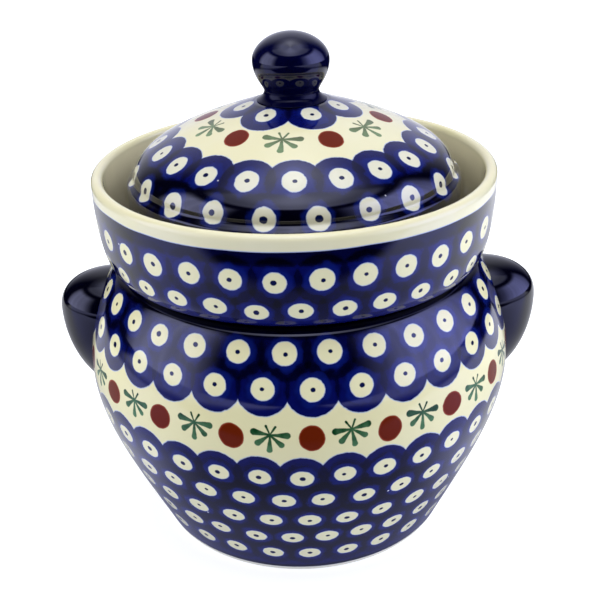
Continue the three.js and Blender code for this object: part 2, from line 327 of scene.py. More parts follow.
near = band(wide, *NEAR) * below(spot["Y"].math("ABSOLUTE"), *NEAR_DEPTH) * NEAR_LIGHT
beyond = above(spot["Y"], *BEYOND) * below(wide / spot["Y"], *BEYOND_WIDTH) * BEYOND_LIGHT
mirrored = sheet + near + beyond + ramp(wide, *OUTER_RAMP) * below(spot["Y"], *OUTER_BACK)
mirrored_tint = blend_colors(tree, above(spot["Y"], *TINT_DEPTH), SHEET_TINT_FRONT, SHEET_TINT_BACK)
in_glaze = node(tree, "ShaderNodeEmission", {"Color": mirrored_tint, "Strength": mirrored})
either = node(tree, "ShaderNodeMixShader", {
    0: seen["Is Glossy Ray"], 1: as_seen.outputs[0], 2: in_glaze.outputs[0],
})
node(tree, "ShaderNodeOutputMaterial", {"Surface": either.outputs[0]})
floor_mesh.materials.append(paper)


# Crock body: a pot turned in stoneware clay, with the mouth ring that stands inside the water trough.
# Its pattern is stamped and brushed in cobalt, green and rust under a clear glaze. The foot is wiped bare.
body_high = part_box("crock_body")[1]
BELLY_RADIUS = body_high.x / MM
BELLY_HEIGHT = 92
FOOT_RADIUS = 78.8
FOOT_EDGE = 1.2
FOOT_RING = 9
FOOT_RECESS = 2.5
SHOULDER = (92.5, 144.5)
LEDGE_RADIUS = 89.2
LEDGE_HEIGHT = 146
NECK_TOP = body_high.z / MM
MOUTH_RADIUS = 64
MOUTH_ROUNDING = 3.3
NECK_RADIUS = 71
FLOOR_HEIGHT = 11.5
FLOOR_ROUNDING = 8
FLOOR_INSET = 5.5
CEILING = 139
CEILING_CLEAR = 5
CEILING_RADIUS = 84
CEILING_ROUNDING = 6
BODY_WALL = 7
# How far the side's two curves are pulled: out and up from the foot, down and up from the belly, and out and
# down from the shoulder
FOOT_PULL = (19.6, 45)
BELLY_PULL = (22, 20)
SHOULDER_PULL = (9.8, 11.3)
ROUND_STEPS = 224
SHARP_EDGE = math.radians(50)
CORNER_PULL = 0.6
CORNER_LIMIT = 0.49


def bezier(start, pull, push, end, steps):
    """Points along a cubic curve, from its start to its end."""
    t = np.linspace(0, 1, steps)[:, None]
    start, pull, push, end = (np.array(p, float) for p in (start, pull, push, end))
    return (1 - t) ** 3 * start + 3 * t * (1 - t) ** 2 * pull + 3 * t ** 2 * (1 - t) * push + t ** 3 * end


def rounded(corners, steps=7):
    """An outline through corners of (radius, height, rounding), with each rounding as a curve."""
    points = []
    for i, (x, z, rounding) in enumerate(corners):
        corner = np.array((x, z), float)
        if rounding == 0 or i in (0, len(corners) - 1):
            points.append(corner)
            continue
        ends = [np.array(corners[i + k][:2], float) - corner for k in (-1, 1)]
        reach = [min(rounding / np.linalg.norm(end), CORNER_LIMIT) for end in ends]
        first = corner + ends[0] * reach[0]
        last = corner + ends[1] * reach[1]
        pull = first + (corner - first) * CORNER_PULL
        push = last + (corner - last) * CORNER_PULL
        points.extend(bezier(first, pull, push, last, steps))
    return np.array(points)


def inset(points, distance):
    """The outline moved to its left by a distance."""
    along = np.gradient(points, axis=0)
    along /= np.linalg.norm(along, axis=1)[:, None]
    return points + distance * np.stack([-along[:, 1], along[:, 0]], 1)


def lengths(points):
    """Distance along the outline to each of its points."""
    steps = np.linalg.norm(np.diff(points, axis=0), axis=1)
    return np.concatenate([[0], np.cumsum(steps)])


# The wobble's scale round a piece and up it, and how soon it sets in away from the axis
RIPPLE_SCALE = 1.3
RIPPLE_RISE = 9.0
RIPPLE_ONSET = 60.0


def turned_tree():
    """Geometry nodes that turn a profile about the upright axis, with a slight hand-made wobble."""
    made = bpy.data.node_groups.new("turned_piece", "GeometryNodeTree")
    for socket, kind in (
        ("Profile", "Geometry"), ("Steps Round", "Int"), ("Wobble", "Float"), ("Seed", "Float"),
        ("Glaze", "Material"),
    ):
        made.interface.new_socket(socket, in_out="INPUT", socket_type="NodeSocket" + kind)
    made.interface.new_socket("Piece", in_out="OUTPUT", socket_type="NodeSocketGeometry")
    entry = made.nodes.new("NodeGroupInput").outputs
    count = node(made, "GeometryNodeAttributeDomainSize", {0: entry["Profile"]}).outputs["Point Count"]
    columns = Flow(made, entry["Steps Round"]) + 1
    grid = node(made, "GeometryNodeMeshGrid", {"Vertices X": columns, "Vertices Y": count})
    index = Flow(made, node(made, "GeometryNodeInputIndex").outputs[0])
    row = index.math("FLOORED_MODULO", count)
    column = (index / count).math("FLOOR")
    share = column / entry["Steps Round"]

    def sampled(field, kind):
        found = node(made, "GeometryNodeSampleIndex", {
            "Geometry": entry["Profile"], "Index": row,
        }, data_type=kind)
        plug(made, field, found.inputs["Value"])
        return found.outputs["Value"]

    outline = separate(made, sampled(node(made, "GeometryNodeInputPosition").outputs[0], "FLOAT_VECTOR"))
    along = node(made, "GeometryNodeInputNamedAttribute", {"Name": "along"}, data_type="FLOAT").outputs[0]
    along = sampled(along, "FLOAT")
    angle = (share - 0.5) * (2 * math.pi)
    across = angle.math("SINE")
    back = angle.math("COSINE") * -1.0
    ripple = node(made, "ShaderNodeTexNoise", {
        "Vector": combine(made, across, back, outline["Z"] * RIPPLE_RISE), "W": entry["Seed"],
        "Scale": RIPPLE_SCALE, "Detail": 2.0,
    }, noise_dimensions="4D")
    onset = (outline["X"] * RIPPLE_ONSET).math("MINIMUM", 1.0)
    push = (Flow(made, ripple.outputs["Fac"]) - 0.5) * 2.0 * entry["Wobble"] * onset
    radius = outline["X"] + push
    turned = node(made, "GeometryNodeSetPosition", {
        "Geometry": grid.outputs["Mesh"],
        "Position": combine(made, across * radius, back * radius, outline["Z"]),
    })
    chart = node(made, "GeometryNodeFieldOnDomain", {
        0: combine(made, share, along),
    }, data_type="FLOAT_VECTOR", domain="POINT")
    mapped = node(made, "GeometryNodeStoreNamedAttribute", {
        "Geometry": turned.outputs[0], "Name": "surface", "Value": chart.outputs[0],
    }, data_type="FLOAT2", domain="CORNER")
    closed = node(made, "GeometryNodeMergeByDistance", {"Geometry": mapped.outputs[0], "Distance": 1e-6})
    stray = Flow(made, node(made, "GeometryNodeInputMeshEdgeNeighbors").outputs[0]).math("LESS_THAN", 0.5)
    clean = node(made, "GeometryNodeDeleteGeometry", {
        "Geometry": closed.outputs[0], "Selection": stray,
    }, domain="EDGE", mode="EDGE_FACE")
    whole = node(made, "GeometryNodeRealizeInstances", {0: clean.outputs[0]})
    glazed = node(made, "GeometryNodeSetMaterial", {
        "Geometry": whole.outputs[0], "Material": entry["Glaze"],
    })
    node(made, "NodeGroupOutput", {0: glazed.outputs[0]})
    return made


turning = turned_tree()


def face_outwards(mesh):
    """Turns a closed mesh that is inside out, as the sign of its volume shows."""
    mesh.calc_loop_triangles()
    places = np.array([v.co for v in mesh.vertices])
    corners = places[np.array([t.vertices for t in mesh.loop_triangles])]
    if np.einsum("ij,ij->i", corners[:, 0], np.cross(corners[:, 1], corners[:, 2])).sum() < 0:
        mesh.flip_normals()


def baked(source, name):
    """A plain mesh of what an object's modifiers or its curve make."""
    mesh = bpy.data.meshes.new_from_object(source.evaluated_get(bpy.context.evaluated_depsgraph_get()))
    mesh.name = name
    return mesh


def turned_piece(name, outline, along, glaze, wobble, seed, steps=ROUND_STEPS):
    """A piece turned from an outline of (radius, height) points in millimetres."""
    profile = bpy.data.meshes.new(name + "_profile")
    spots = [(x * MM, 0, z * MM) for x, z in outline]
    profile.from_pydata(spots, [(i, i + 1) for i in range(len(spots) - 1)], [])
    profile.attributes.new("along", "FLOAT", "POINT").data.foreach_set("value", along * MM)
    blank = add_object(name + "_blank", profile)
    lathe = blank.modifiers.new("turning", "NODES")
    lathe.node_group = turning
    settings = {"Steps Round": steps, "Wobble": wobble * MM, "Seed": seed, "Glaze": glaze}
    for item in turning.interface.items_tree:
        if item.in_out == "INPUT" and item.name in settings:
            lathe[item.identifier] = settings[item.name]
    mesh = baked(blank, name)
    bpy.data.objects.remove(blank)
    face_outwards(mesh)
    mesh.shade_smooth()
    mesh.set_sharp_from_angle(angle=SHARP_EDGE)
    return add_object(name, mesh)


pot_side = np.concatenate([
    bezier((FOOT_RADIUS, FOOT_EDGE), (FOOT_RADIUS + FOOT_PULL[0], FOOT_EDGE + FOOT_PULL[1]),
           (BELLY_RADIUS, BELLY_HEIGHT - BELLY_PULL[0]), (BELLY_RADIUS, BELLY_HEIGHT), steps=44),
    bezier((BELLY_RADIUS, BELLY_HEIGHT), (BELLY_RADIUS, BELLY_HEIGHT + BELLY_PULL[1]),
           (SHOULDER[0] + SHOULDER_PULL[0], SHOULDER[1] - SHOULDER_PULL[1]), SHOULDER, steps=34)[1:],
])
pot_inside = inset(pot_side, BODY_WALL)
clear_of_floor = pot_inside[:, 1] > FLOOR_HEIGHT + FLOOR_ROUNDING
clear_of_ceiling = pot_inside[:, 1] < CEILING - CEILING_CLEAR
pot_inside = pot_inside[clear_of_floor & clear_of_ceiling][::-1]
pot_under = rounded([
    (0, FOOT_RECESS, 0), (FOOT_RADIUS - FOOT_RING - FOOT_RECESS, FOOT_RECESS, 1.5),
    (FOOT_RADIUS - FOOT_RING, 0, 1.2), (FOOT_RADIUS - 1, 0, 1.0), (FOOT_RADIUS, FOOT_EDGE, 0),
])[:-1]
pot_top = rounded([
    (*SHOULDER, 0), (LEDGE_RADIUS, LEDGE_HEIGHT, 0.8), (NECK_RADIUS, LEDGE_HEIGHT, 3),
    (NECK_RADIUS, NECK_TOP, MOUTH_ROUNDING), (MOUTH_RADIUS, NECK_TOP, MOUTH_ROUNDING),
    (MOUTH_RADIUS, CEILING, 2.5), (CEILING_RADIUS, CEILING, CEILING_ROUNDING), (*pot_inside[0], 0),
])[1:-1]
pot_floor = rounded([
    (*pot_inside[-1], 0), (FOOT_RADIUS - FLOOR_INSET, FLOOR_HEIGHT, FLOOR_ROUNDING), (0, FLOOR_HEIGHT, 0),
])[1:]
pot_outline = np.concatenate([pot_under, pot_side, pot_top, pot_inside, pot_floor])
pot_along = lengths(pot_outline)
side_along = pot_along[len(pot_under):len(pot_under) + len(pot_side)]


def shader_group(name, inputs, outputs):
    """An empty shader group, with its named input and output sockets."""
    tree = bpy.data.node_groups.new(name, "ShaderNodeTree")
    for side, sockets in (("INPUT", inputs), ("OUTPUT", outputs)):
        for socket, kind in sockets.items():
            tree.interface.new_socket(socket, in_out=side, socket_type="NodeSocket" + kind)
    entry = tree.nodes.new("NodeGroupInput")
    leave = tree.nodes.new("NodeGroupOutput")
    values = {
        socket: Flow(tree, entry.outputs[socket]) if kind == "Float" else entry.outputs[socket]
        for socket, kind in inputs.items()
    }
    return tree, values, leave.inputs


def use_group(tree, group, **inputs):
    """A shader group placed in a tree, as its outputs; an input's words are joined by an underscore."""
    made = tree.nodes.new("ShaderNodeGroup")
    made.node_tree = group
    for key, value in inputs.items():
        plug(tree, value, made.inputs[key.replace("_", " ").title()])
    return {
        output.name: Flow(tree, output) if output.type == "VALUE" else output for output in made.outputs
    }


def noise(tree, place, scale, detail=2.0, roughness=0.5):
    """Noise about zero, from -0.5 to 0.5."""
    made = node(tree, "ShaderNodeTexNoise", {
        "Vector": place, "Scale": scale, "Detail": detail, "Roughness": roughness,
    })
    return Flow(tree, made.outputs["Fac"]) - 0.5


ROW = {"Surface": "Vector", "Height": "Float", "Radius": "Float", "Count": "Float", "Turn": "Float",
       "Wander": "Float", "Seed": "Float"}
EYE = {"Dot Size": "Float", "Disc Size": "Float", "Eye Size": "Float", "Uneven": "Float", "Flat": "Float"}
RAGGED_EDGE = 0.7 * MM
DISC_BORDER = 1.1 * MM


def stamp_place_group():
    """Where a spot lies from the nearest motif of a row round the piece, or from the motif next to that."""
    tree, get, out = shader_group("stamp_place", dict(ROW, Next="Float"), {
        "Across": "Float", "Up": "Float", "Spot": "Vector", "Chance": "Vector",
    })
    surface = separate(tree, get["Surface"])
    place = (surface["X"] - 0.5 - get["Turn"]) * get["Count"]
    nearest = (place + 0.5).math("FLOOR")
    number = nearest + (place - nearest).math("SIGN") * get["Next"]
    own = number.math("FLOORED_MODULO", get["Count"])
    key = combine(tree, own, get["Seed"])
    chance = node(tree, "ShaderNodeTexWhiteNoise", {"Vector": key}, noise_dimensions="2D").outputs["Color"]
    luck = separate(tree, chance)
    half_angle = (place - number) * math.pi / get["Count"]
    chord = half_angle.math("SINE") * 2.0 * (surface["Z"] * get["Radius"]).math("SQRT")
    across = chord + (luck["X"] - 0.5) * get["Wander"]
    up = surface["Y"] - get["Height"] + (luck["Y"] - 0.5) * get["Wander"]
    plug(tree, across, out["Across"])
    plug(tree, up, out["Up"])
    plug(tree, combine(tree, across, up, own * 0.37 + get["Seed"]), out["Spot"])
    plug(tree, chance, out["Chance"])
    return tree


stamp_place = stamp_place_group()


def eye_row_group():
    """A row of stamped eyes: distances from the edges of dot, pupil and disc, and how many discs overlap."""
    tree, get, out = shader_group("eye_row", {**ROW, **EYE}, {
        "Dot": "Float", "Eye": "Float", "Disc": "Float", "Cover": "Float",
    })
    row = {name.lower(): get[name] for name in ROW}
    near = use_group(tree, stamp_place, next=0.0, **row)
    following = use_group(tree, stamp_place, next=1.0, **row)
    across, up = near["Across"], near["Up"]
    luck = {axis: value - 0.5 for axis, value in separate(tree, near["Chance"]).items()}
    ragged = noise(tree, near["Spot"], 420.0) * RAGGED_EDGE
    uneven = noise(tree, near["Spot"], 120.0, 1.0) * get["Uneven"]
    dot = length_of(across * 1.04, up * get["Flat"]) + ragged + uneven - get["Dot Size"]
    eye = length_of(across * 0.92 - luck["Z"] * MM, up - luck["X"] * MM) + ragged - get["Eye Size"]
    disc = length_of(across, up) + ragged - get["Disc Size"]
    next_disc = length_of(following["Across"], following["Up"]) + ragged - get["Disc Size"]
    plug(tree, dot - luck["Z"] * (0.5 * MM), out["Dot"])
    plug(tree, eye - luck["Y"] * (0.5 * MM), out["Eye"])
    plug(tree, disc.math("MINIMUM", next_disc), out["Disc"])
    plug(tree, below(disc, 0.0, DISC_BORDER) + below(next_disc, 0.0, DISC_BORDER), out["Cover"])
    return tree


eye_row = eye_row_group()


def leaf_group():
    """One club-ended brush stroke of a painted sprig, as the distance from its edge."""
    tree, get, out = shader_group("leaf_stroke", {
        "X": "Float", "Y": "Float", "Angle": "Float", "Length": "Float", "Root": "Float", "Tip": "Float",
    }, {"Edge": "Float"})
    cosine = get["Angle"].math("COSINE")
    sine = get["Angle"].math("SINE")
    ahead = get["X"] * cosine + get["Y"] * sine
    aside = get["Y"] * cosine - get["X"] * sine
    share = (ahead / get["Length"]).math("MAXIMUM", 0.0).math("MINIMUM", 1.0)
    width = get["Root"] + (get["Tip"] - get["Root"]) * share.math("POWER", 1.3)
    plug(tree, length_of(ahead - share * get["Length"], aside) - width, out["Edge"])
    return tree


leaf_stroke = leaf_group()
SPRIG_RAISED = 2.8
# Angle in degrees, then length, root and tip half-widths in millimetres of each stroke of a sprig
SPRIG_STROKES = (
    (2, 7.6, 0.5, 1.65), (175, 7.3, 0.5, 1.7), (-40, 7.1, 0.45, 1.4), (-139, 7.0, 0.45, 1.5),
    (-88, 7.6, 0.45, 1.4), (62, 4.6, 0.4, 0.55), (116, 4.6, 0.4, 0.55),
)


def motif_row_group():
    """A row of rust ovals with green sprigs half way between, as distances from their edges."""
    tree, get, out = shader_group("motif_row", dict(
        ROW, **{"Oval Size": "Float", "Sprig Scale": "Float"},
    ), {"Oval": "Float", "Sprig": "Float", "Sprig Tone": "Float"})
    row = {name.lower(): get[name] for name in ROW}
    at = use_group(tree, stamp_place, next=0.0, **row)
    lean = separate(tree, at["Chance"])["Z"] * 3.0
    cosine, sine = lean.math("COSINE"), lean.math("SINE")
    across, up = at["Across"], at["Up"]
    ragged = noise(tree, at["Spot"], 260.0) * RAGGED_EDGE
    oval = length_of((across * cosine + up * sine) * 0.97, (up * cosine - across * sine) * 1.05)
    plug(tree, oval + ragged - get["Oval Size"], out["Oval"])
    row.update(turn=get["Turn"] + get["Count"].math("POWER", -1.0) * 0.5, seed=get["Seed"] + 7.0)
    at = use_group(tree, stamp_place, next=0.0, **row)
    lean = (separate(tree, at["Chance"])["Z"] - 0.5) * 0.3
    cosine, sine = lean.math("COSINE"), lean.math("SINE")
    up = at["Up"] - SPRIG_RAISED * MM
    x = (at["Across"] * cosine + up * sine) / get["Sprig Scale"]
    y = (up * cosine - at["Across"] * sine) / get["Sprig Scale"]
    edges = [
        use_group(tree, leaf_stroke, x=x, y=y, angle=math.radians(angle), length=length * MM, root=root * MM,
                  tip=tip * MM)["Edge"]
        for angle, length, root, tip in SPRIG_STROKES
    ]
    sprig = edges[0]
    for edge in edges[1:]:
        sprig = sprig.math("MINIMUM", edge)
    plug(tree, sprig + noise(tree, at["Spot"], 380.0) * (0.5 * MM), out["Sprig"])
    plug(tree, noise(tree, at["Spot"], 190.0) * 1.8 + 0.3 - y * 60.0, out["Sprig Tone"])
    return tree


motif_row = motif_row_group()

CREAM = (0.80, 0.745, 0.43, 1)
CREAM_DEEP = (0.76, 0.70, 0.385, 1)
CREAM_DOT = (0.80, 0.75, 0.45, 1)
COBALT_HALO = (0.004, 0.012, 0.15, 1)
COBALT_LIGHT = (0.002, 0.004, 0.082, 1)
COBALT_MID = (0.001, 0.0015, 0.028, 1)
COBALT_DARK = (0.0006, 0.0005, 0.005, 1)
COBALT_STOPS = ((0.24, COBALT_LIGHT), (0.46, COBALT_MID), (0.72, COBALT_DARK))
PUPIL = (0.002, 0.006, 0.05, 1)
PALE_EDGE = (0.40, 0.46, 0.66, 1)
FULL_COVER = 4.0
PINHOLE = (0.62, 0.62, 0.68, 1)
RUST = (0.13, 0.013, 0.002, 1)
RUST_EDGE = (0.28, 0.045, 0.02, 1)
GREEN_DARK = (0.004, 0.042, 0.012, 1)
GREEN_LIGHT = (0.075, 0.19, 0.082, 1)
BARE_CLAY = (0.74, 0.70, 0.56, 1)


def cobalt_group():
    """Sponged cobalt: a clear blue under one stamp, darker under two or three, and blotted all over."""
    tree, get, out = shader_group("cobalt_ground", {"Place": "Vector", "Cover": "Float"}, {"Color": "Color"})
    blot = noise(tree, get["Place"], 90.0, 3.0, 0.6) * 0.9
    fine = noise(tree, get["Place"], 420.0, 2.0, 0.6) * 0.5
    shade = node(tree, "ShaderNodeValToRGB", {"Fac": (get["Cover"] + blot + fine) / FULL_COVER})
    stops = shade.color_ramp.elements
    stops.remove(stops[1])
    stops[0].color = COBALT_DARK
    for share, color in COBALT_STOPS:
        stops.new(share).color = color
    plug(tree, shade.outputs["Color"], out["Color"])
    return tree


cobalt_ground = cobalt_group()


def glaze_group():
    """What every glazed surface shares: a slow swell, fine peel, faint turning lines and rare pinholes."""
    tree, get, out = shader_group("glaze_skin", {"Place": "Vector", "Rings": "Float"}, {
        "Height": "Float", "Roughness": "Float", "Pinhole": "Float", "Shade": "Float",
    })
    place = separate(tree, get["Place"])
    wind = combine(tree, place["X"] * 0.06, place["Y"] * 0.06, place["Z"])
    rings = noise(tree, wind, 190.0, 1.0) * get["Rings"]
    swell = noise(tree, get["Place"], 38.0)
    peel = noise(tree, get["Place"], 900.0) * 0.02
    plug(tree, swell + peel + rings, out["Height"])
    plug(tree, noise(tree, get["Place"], 160.0, 3.0, 0.6) * 0.05 + 0.07, out["Roughness"])
    grains = node(tree, "ShaderNodeTexVoronoi", {"Vector": get["Place"], "Scale": 150.0}).outputs
    rare = separate(tree, grains["Color"])["X"].math("GREATER_THAN", 0.965)
    plug(tree, below(Flow(tree, grains["Distance"]), 0.07, 0.03) * rare, out["Pinhole"])
    plug(tree, noise(tree, get["Place"], 30.0, 3.0) + 0.5, out["Shade"])
    return tree


glaze_skin = glaze_group()


def start_glaze(name, rings=0.25):
    """A new glaze: its material, its tree, its object coordinates and the shared skin."""
    made = bpy.data.materials.new(name)
    made.use_nodes = True
    made.node_tree.nodes.clear()
    place = node(made.node_tree, "ShaderNodeTexCoord").outputs["Object"]
    return made, made.node_tree, place, use_group(made.node_tree, glaze_skin, place=place, rings=rings)


def turned_map(tree, place):
    """A turned piece's own map of (turn, length along the profile, radius), and that length by itself."""
    spot = separate(tree, place)
    chart = separate(tree, node(tree, "ShaderNodeUVMap", uv_map="surface").outputs[0])
    return combine(tree, chart["X"], chart["Y"], length_of(spot["X"], spot["Y"])), chart["Y"]


# The clear glaze is a coat over the paint, which has little shine of its own
GLAZE_COAT = 0.75
COAT_ROUGHNESS = 0.06
PAINT_SHINE = 0.13
PAINT_IOR = 1.5
BARE_ROUGHNESS = 0.5
SWELL_DEPTH = 0.6 * MM
SWELL_STRENGTH = 0.35


def finish_glaze(tree, color, skin, bare=None, dull=None, coat=GLAZE_COAT):
    """The shader at the end of a glaze; bare masks clay without it, and dull masks paint with less gloss."""
    roughness = skin["Roughness"]
    if dull is not None:
        coat = without(dull.math("MINIMUM", 1.0)) * coat
    if bare is not None:
        color = blend_colors(tree, bare, color, BARE_CLAY)
        roughness = roughness + bare * BARE_ROUGHNESS
        coat = without(bare) * coat
    bump = node(tree, "ShaderNodeBump", {
        "Height": skin["Height"], "Strength": SWELL_STRENGTH, "Distance": SWELL_DEPTH,
    })
    shader = node(tree, "ShaderNodeBsdfPrincipled", {
        "Base Color": color, "Roughness": roughness, "Normal": bump.outputs[0], "IOR": PAINT_IOR,
        "Specular IOR Level": PAINT_SHINE, "Coat Weight": coat, "Coat Roughness": COAT_ROUGHNESS,
    })
    node(tree, "ShaderNodeOutputMaterial", {"Surface": shader.outputs[0]})


PAINT_BORDER = 0.2 * MM
SPRIG_DULL = 0.6


def within(edge):
    """The mask of a painted shape, from the distance to its edge."""
    return below(edge, 0.0, PAINT_BORDER)


def painted(motifs):
    """The mask of the ovals and sprigs, whose thick paint takes the gloss off the glaze."""
    return within(motifs["Oval"]) + within(motifs["Sprig"]) * SPRIG_DULL


def cream_glaze(tree, skin, color=CREAM):
    return blend_colors(tree, skin["Shade"], color, CREAM_DEEP)


def paint_motifs(tree, color, motifs, painted_sheen=0.0):
    """Paints the rust ovals and the green sprigs over a colour; painted_sheen fades the sprigs towards cream
    as a painted sheen.
    """
    rust = blend_colors(tree, above(motifs["Oval"], -0.5 * MM, 0.4 * MM), RUST, RUST_EDGE)
    color = blend_colors(tree, within(motifs["Oval"]), color, rust)
    green = blend_colors(tree, motifs["Sprig Tone"], GREEN_DARK, GREEN_LIGHT)
    green = blend_colors(tree, painted_sheen, green, CREAM)
    return blend_colors(tree, within(motifs["Sprig"]), color, green)


# A brush covers as two stamps do, and the blue is washed out to a lighter halo round each dot
BRUSH_COVER = 2.0
HALO_WIDTH = 2.3 * MM
HALO_BORDER = 1.3 * MM
HALO_UNEVEN = 7 * MM
HALO_STRENGTH = 0.65


def paint_stamps(tree, color, field, darkened, rows, place, skin, dot=CREAM_DOT):
    """Paints a blue field, darker under brush strokes and wherever else the mask darkens it, then the dots
    and pupils of its stamps.
    """
    def nearest(name):
        found = rows[0][name]
        for row in rows[1:]:
            found = found.math("MINIMUM", row[name])
        return found.math("MAXIMUM", field)

    cover = darkened * BRUSH_COVER
    for row in rows:
        cover = cover + row["Cover"]
    ground = use_group(tree, cobalt_ground, place=place, cover=cover)["Color"]
    dots = nearest("Dot")
    halo = below(dots + noise(tree, place, 130.0) * HALO_UNEVEN, HALO_WIDTH, HALO_BORDER)
    ground = blend_colors(tree, halo * HALO_STRENGTH, ground, COBALT_HALO)
    ground = blend_colors(tree, skin["Pinhole"], ground, PINHOLE)
    color = blend_colors(tree, below(field, 0.35 * MM, 0.25 * MM), color, PALE_EDGE)
    color = blend_colors(tree, within(field), color, ground)
    color = blend_colors(tree, below(dots, 0.2 * MM, PAINT_BORDER), color, PALE_EDGE)
    color = blend_colors(tree, below(dots, -0.1 * MM, PAINT_BORDER), color, dot)
    return blend_colors(tree, within(nearest("Eye")), color, PUPIL)


DOT = dict(dot_size=5.5 * MM, disc_size=12.2 * MM, eye_size=1.1 * MM, uneven=0.5 * MM, flat=1.06,
           wander=1.4 * MM)


def place_row(along, radius, count, degrees):
    """A row of motifs at a length along the profile, with one of them at an angle right of the front."""
    return dict(height=along * MM, radius=radius * MM, count=float(count), turn=degrees / 360)


def side_row(height, count, degrees):
    along = np.interp(height, pot_side[:, 1], side_along)
    return place_row(along, np.interp(height, pot_side[:, 1], pot_side[:, 0]), count, degrees)


def stamp_rows(tree, surface, rows):
    return [
        use_group(tree, eye_row, surface=surface, seed=float(i + 1), **row) for i, row in enumerate(rows)
    ]


body_glaze, tree, place, skin = start_glaze("body_glaze")
surface, along = turned_map(tree, place)
upper_rows = [dict(DOT, **side_row(137.0, 30, -4.0)), dict(DOT, **side_row(122.6, 30, 3.0))]
lower_dot = dict(DOT, flat=1.22)
lower_rows = [dict(lower_dot, **side_row(*row)) for row in (
    (79.6, 35, -0.2), (63.7, 35, 5.3), (47.7, 34, 1.1), (32.6, 33, -4.1), (17.5, 29, 1.6),
)]
rows = stamp_rows(tree, surface, upper_rows + lower_rows)
# Painted shade in the groove under the collar, from just past the side's end up onto the ledge
GROOVE_SHADE_END = 6.5
GROOVE_SHADE_START = 0.5
BRUSHED_OVER = 7.5
FOOT_STRIP = 2.2
# The stamps lie thicker away from the scalloped edges, more so in the lower field
UPPER_THICKER = 0.28
LOWER_THICKER = 0.4
top_edge = along - (side_along[-1] + GROOVE_SHADE_END) * MM
foot_edge = along * -1.0 + (side_along[0] + FOOT_STRIP) * MM
upper_field = (along * -1.0 + upper_rows[1]["height"]).math("MINIMUM", rows[1]["Disc"])
upper_field = upper_field.math("MAXIMUM", top_edge)
lower_field = (along - lower_rows[0]["height"]).math("MINIMUM", rows[2]["Disc"]).math("MAXIMUM", foot_edge)
motifs = use_group(tree, motif_row, surface=surface, oval_size=6.2 * MM, sprig_scale=1.0, wander=1.6 * MM,
                   seed=5.0, **side_row(100.8, 19, 2.0))
color = paint_motifs(tree, cream_glaze(tree, skin), motifs)
darkened = above(along, upper_rows[0]["height"] + BRUSHED_OVER * MM, 1.5 * MM)
darkened = darkened + below(upper_field, -4 * MM, 3 * MM) * UPPER_THICKER
darkened = darkened + below(lower_field, -3 * MM, 2.5 * MM) * LOWER_THICKER
field = upper_field.math("MINIMUM", lower_field)
color = paint_stamps(tree, color, field, darkened, rows, place, skin)
# Painted shade: the groove under the collar's overhang is painted the darkest blue
groove_shade = above(along, (side_along[-1] + GROOVE_SHADE_START) * MM, 0.5 * MM) * within(top_edge)
color = blend_colors(tree, groove_shade, color, COBALT_DARK)
finish_glaze(tree, color, skin, bare=above(foot_edge, 0.0, 0.15 * MM), dull=painted(motifs))

crock_body = turned_piece("crock_body_glazed", pot_outline, pot_along, body_glaze, wobble=0.25, seed=3.0)
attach(crock_body, "crock")
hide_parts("crock_body")


# Water collar: a ring turned by itself and luted on the pot's shoulder, where the dark groove shows.
# It is the outer wall of the trough. Its rounded lip is left cream above the stamped blue.
collar_low, collar_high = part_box("water_collar")
COLLAR_RADIUS = collar_high.x / MM
COLLAR_BASE = collar_low.z / MM
CREST = collar_high.z / MM
LIP = 2.9
LIP_HEIGHT = CREST - LIP
LIP_INNER = COLLAR_RADIUS - 2 * LIP
COLLAR_TOE = 85.3
COLLAR_HEEL = (95.4, 152)
HEEL_PULL = (2.4, 4.5)
LIP_PULL = 20
TROUGH_FLOOR = 148.1
TROUGH_SIDE = (91.5, 157)
TROUGH_PULL = (0.5, 11)
WALL_STEPS = 30
CREAM_LINE = 186.2
UPPER_DOTS = 172.6
LOWER_DOTS = 157.5
DOTS_ROUND = 32
# Painted light: the collar's inside gets a lighter, warmer cream than the lip, to brighten the trough's
# inner wall, which lies in shade
INNER_CREAM_LIT = (0.90, 0.82, 0.54, 1)
LIP_CREAM = (0.80, 0.755, 0.56, 1)
collar_wall = np.concatenate([
    rounded([(COLLAR_TOE, COLLAR_BASE, 0), (LEDGE_RADIUS, COLLAR_BASE, 0.6), (94.2, COLLAR_BASE + 3, 1.4),
             (*COLLAR_HEEL, 0)])[:-1],
    bezier(COLLAR_HEEL, (COLLAR_HEEL[0] + HEEL_PULL[0], COLLAR_HEEL[1] + HEEL_PULL[1]),
           (COLLAR_RADIUS, LIP_HEIGHT - LIP_PULL), (COLLAR_RADIUS, LIP_HEIGHT), WALL_STEPS),
])
lip_angles = np.linspace(0, math.pi, 20)[1:-1]
lip_arc = np.stack([
    COLLAR_RADIUS - LIP + LIP * np.cos(lip_angles), LIP_HEIGHT + LIP * np.sin(lip_angles),
], 1)
collar_inside = np.concatenate([
    bezier((LIP_INNER, LIP_HEIGHT), (93.2, LIP_HEIGHT - 12),
           (TROUGH_SIDE[0] + TROUGH_PULL[0], TROUGH_SIDE[1] + TROUGH_PULL[1]), TROUGH_SIDE, steps=24),
    bezier(TROUGH_SIDE, (91.0, 152), (89.5, TROUGH_FLOOR + 0.5), (COLLAR_TOE, TROUGH_FLOOR), steps=14)[1:],
])
collar_outline = np.concatenate([collar_wall, lip_arc, collar_inside, collar_wall[:1]])
collar_along = lengths(collar_outline)
upright_part = slice(len(collar_wall) - WALL_STEPS, len(collar_wall))


def along_collar(height):
    return np.interp(height, collar_wall[upright_part, 1], collar_along[upright_part])


def collar_row(height, degrees):
    radius = np.interp(height, collar_wall[upright_part, 1], collar_wall[upright_part, 0])
    return dict(DOT, **place_row(along_collar(height), radius, DOTS_ROUND, degrees))


